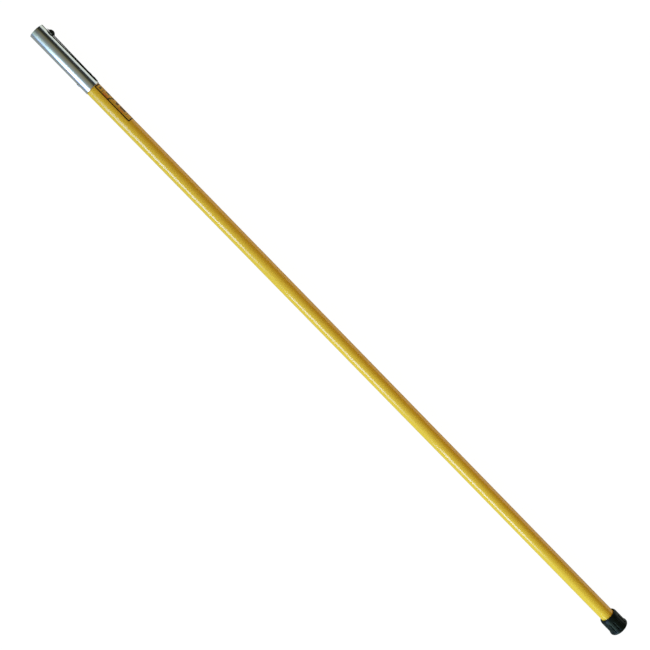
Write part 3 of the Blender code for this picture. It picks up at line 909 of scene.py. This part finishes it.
def make_tip(material):
    """The rubber foot: a flared end with ring treads, a rounded shoulder and narrow lengthwise grooves."""
    pitch = 2 * math.pi / GROOVES
    near = 1.3 * GROOVE_HALF_WIDTH / TIP_RADIUS
    offsets = evenly(-near, near, 16) + evenly(near, pitch - near, 8)[1:-1]
    angles = [groove * pitch + offset for groove in range(GROOVES) for offset in offsets]
    bore_limit = TUBE_RADIUS + 0.001
    points = []
    outline = tip_outline()
    for along, radius in outline:
        outside = radius > bore_limit
        for angle in angles:
            to_groove = (angle + pitch / 2) % pitch - pitch / 2
            here = radius - groove_depth(along, to_groove * radius) if outside else radius
            points.append((along, -here * math.sin(angle), here * math.cos(angle)))
    faces = ring_faces(len(outline), len(angles), False)
    tip = outward_normals(new_piece("ribbed_rubber_foot", points, faces, material, 50))
    place_by(tip, POLE_BODY, "rubber_tip")


def repaint(node, material):
    """Gives a CAD node that is shown as it is its own finished material."""
    thing = frame["nodes"][node]
    for material_slot in thing.material_slots:
        material_slot.material = material


# ---------------------------------------------------------------- camera, light and floor

def make_camera():
    """A long lens above the pole, nearly square on, with the socket up and to the left."""
    lean = LEAN_TO_SOCKET
    tip = LEAN_TO_LATCH
    back = Vector((math.sin(lean), -math.cos(lean) * math.sin(tip), math.cos(lean) * math.cos(tip)))
    along = Vector((1, 0, 0))
    along = (along - back * along.dot(back)).normalized()
    across = back.cross(along)
    right = -math.cos(POLE_ANGLE_IN_VIEW) * along - math.sin(POLE_ANGLE_IN_VIEW) * across
    up = math.sin(POLE_ANGLE_IN_VIEW) * along - math.cos(POLE_ANGLE_IN_VIEW) * across
    place = Vector((MOUTH_X - SIGHT_FROM_MOUTH, -AIM_TO_LATCH, 0)) + CAMERA_DISTANCE * back
    camera = bpy.data.objects.new("camera", bpy.data.cameras.new("camera"))
    camera.data.lens = CAMERA_LENS
    camera.data.sensor_width = CAMERA_SENSOR
    camera.data.clip_end = 50
    turn = Matrix((right, up, back)).transposed().to_4x4()
    camera.matrix_world = Matrix.Translation(place) @ turn
    bpy.context.scene.collection.objects.link(camera)
    bpy.context.scene.camera = camera


def make_world():
    """A light tent: its brightness changes round the pole's axis, and it dims towards the socket's end."""
    world = bpy.data.worlds.new("light_tent")
    world.use_nodes = True
    nodes = world.node_tree.nodes
    links = world.node_tree.links
    background = nodes["Background"]
    direction = nodes.new("ShaderNodeTexCoord").outputs["Generated"]
    parts = nodes.new("ShaderNodeSeparateXYZ")
    links.new(direction, parts.inputs[0])
    to_latch = nodes.new("ShaderNodeMath")
    to_latch.operation = "MULTIPLY"
    to_latch.inputs[1].default_value = -1.0
    links.new(parts.outputs["Y"], to_latch.inputs[0])
    angle = nodes.new("ShaderNodeMath")
    angle.operation = "ARCTAN2"
    links.new(to_latch.outputs[0], angle.inputs[0])
    links.new(parts.outputs["Z"], angle.inputs[1])
    share = nodes.new("ShaderNodeMapRange")
    share.inputs["From Min"].default_value = -math.pi
    share.inputs["From Max"].default_value = math.pi
    links.new(angle.outputs[0], share.inputs["Value"])
    ramp = nodes.new("ShaderNodeValToRGB")
    links.new(share.outputs["Result"], ramp.inputs["Fac"])
    fill_ramp(ramp, [((degrees + 180) / 360, colour) for degrees, colour in TENT])
    end_fade = nodes.new("ShaderNodeMapRange")
    end_fade.inputs["From Min"].default_value = TENT_FADE_FROM
    end_fade.inputs["From Max"].default_value = TENT_FADE_TO
    end_fade.inputs["To Min"].default_value = 1.0
    end_fade.inputs["To Max"].default_value = TENT_FADE_SHARE
    links.new(parts.outputs["X"], end_fade.inputs["Value"])
    dimmed = nodes.new("ShaderNodeVectorMath")
    dimmed.operation = "SCALE"
    links.new(ramp.outputs["Color"], dimmed.inputs[0])
    links.new(end_fade.outputs["Result"], dimmed.inputs["Scale"])
    seen = nodes.new("ShaderNodeLightPath")
    mix = nodes.new("ShaderNodeMix")
    mix.data_type = "RGBA"
    colours = [socket for socket in mix.inputs if socket.type == "RGBA"]
    links.new(seen.outputs["Is Camera Ray"], mix.inputs["Factor"])
    links.new(dimmed.outputs["Vector"], colours[0])
    colours[1].default_value = (1.0, 1.0, 1.0, 1.0)
    mixed = next(socket for socket in mix.outputs if socket.type == "RGBA")
    links.new(mixed, background.inputs["Color"])
    bpy.context.scene.world = world


def make_area_light(name, middle_x, distance, angle, length, height, strength, colour, slant=0):
    """A rectangular light that faces the pole, at this angle from straight up, + away from the latch."""
    turn = math.radians(angle)
    toward_light = Vector((0, math.sin(turn), math.cos(turn)))
    light = bpy.data.lights.new(name, "AREA")
    light.shape = "RECTANGLE"
    light.size = length
    light.size_y = height
    light.energy = strength * math.pi * length * height
    light.color = colour
    lamp = bpy.data.objects.new(name, light)
    length_way = Vector((1, 0, 0))
    facing = Matrix((length_way, toward_light.cross(length_way), toward_light)).transposed().to_4x4()
    slanted = Matrix.Rotation(math.radians(slant), 4, "Z")
    middle = Vector((middle_x, 0, 0)) + distance * toward_light
    lamp.matrix_world = Matrix.Translation(middle) @ facing @ slanted
    lamp.visible_camera = False
    bpy.context.scene.collection.objects.link(lamp)
    return lamp


def make_softbox(name, socket_end_x, length, height, strength, colour, shares):
    """A window-like light on the +Y side whose strength changes along its length.

    It is slanted, so its reflection drifts round the pole.
    """
    middle_along = socket_end_x - length / 2
    box = make_area_light(name, middle_along, SOFTBOX_DISTANCE, SOFTBOX_ANGLE,
                          length, height, strength, colour, SOFTBOX_SLANT)
    box.data.use_nodes = True
    nodes = box.data.node_tree.nodes
    links = box.data.node_tree.links
    across = nodes.new("ShaderNodeSeparateXYZ")
    links.new(nodes.new("ShaderNodeNewGeometry").outputs["Parametric"], across.inputs[0])
    ramp = nodes.new("ShaderNodeValToRGB")
    links.new(across.outputs["X"], ramp.inputs["Fac"])
    fill_ramp(ramp, shares)
    links.new(ramp.outputs["Color"], nodes["Emission"].inputs["Strength"])


def make_fill():
    """A warm, wide light on the latch's side that shows in no reflection."""
    fill = make_area_light("warm_fill", CAD_HIGH.x / 2, FILL_DISTANCE, -FILL_ANGLE,
                           FILL_LENGTH, FILL_HEIGHT, FILL_STRENGTH, FILL_COLOUR)
    fill.visible_glossy = False


def make_floor(material):
    """A large sheet of paper under the pole."""
    reach = 12.0
    height = CAD_LOW.z
    steps = 8
    points = [(x, y, height) for x in evenly(-reach, reach, steps) for y in evenly(-reach, reach, steps)]
    faces = []
    for row in range(steps):
        for column in range(steps):
            first = row * (steps + 1) + column
            faces.append((first, first + steps + 1, first + steps + 2, first + 1))
    floor = new_piece("paper_floor", points, faces, material)


# ---------------------------------------------------------------- the scene

def main():
    spring_steel = black_steel_material("black_spring_steel", STRIP_LOW.x + STRIP_BARE_LENGTH, STRIP_LOW.x)
    rivet_black = black_steel_material("black_rivet_steel")
    button_black = black_steel_material("black_button_steel")
    turned_steel = plain_steel_material("turned_steel", (0.45, 0.45, 0.45), (0.60, 0.60, 0.60))
    aluminium = plain_steel_material("satin_aluminium", (0.62, 0.62, 0.63), (0.74, 0.74, 0.75))

    make_tube(fibreglass_material())
    make_sleeve(drawn_steel_material())
    make_plug(nylon_material())
    make_strip(spring_steel)
    make_button(button_black)
    make_pin(turned_steel)
    wall = TUBE_WALL + BOND_GAP + SLEEVE_WALL
    strip_outer = -STRIP_HIGH.y + STRIP_THICKNESS
    for node in STRIP_RIVETS:
        make_rivet(node, LATCH_SIDE, strip_outer, STRIP_THICKNESS + SEAT_GAP + wall,
                   *STRIP_RIVET_HEAD, "black_spring_steel", rivet_black)
    make_rivet("sleeve_rivet", BACK_SIDE, SLEEVE_RADIUS, wall,
               *SLEEVE_RIVET_HEAD, "rivet_aluminium", aluminium)
    make_label(label_material())
    make_tip(rubber_material())
    for node in MANDRELS:
        repaint(node, turned_steel)
    repaint("tip_washer", turned_steel)

    make_floor(floor_material())
    make_world()
    make_camera()
    for softbox in SOFTBOXES:
        make_softbox(*softbox)
    make_fill()
    bpy.context.scene.view_settings.view_transform = "Standard"


main()
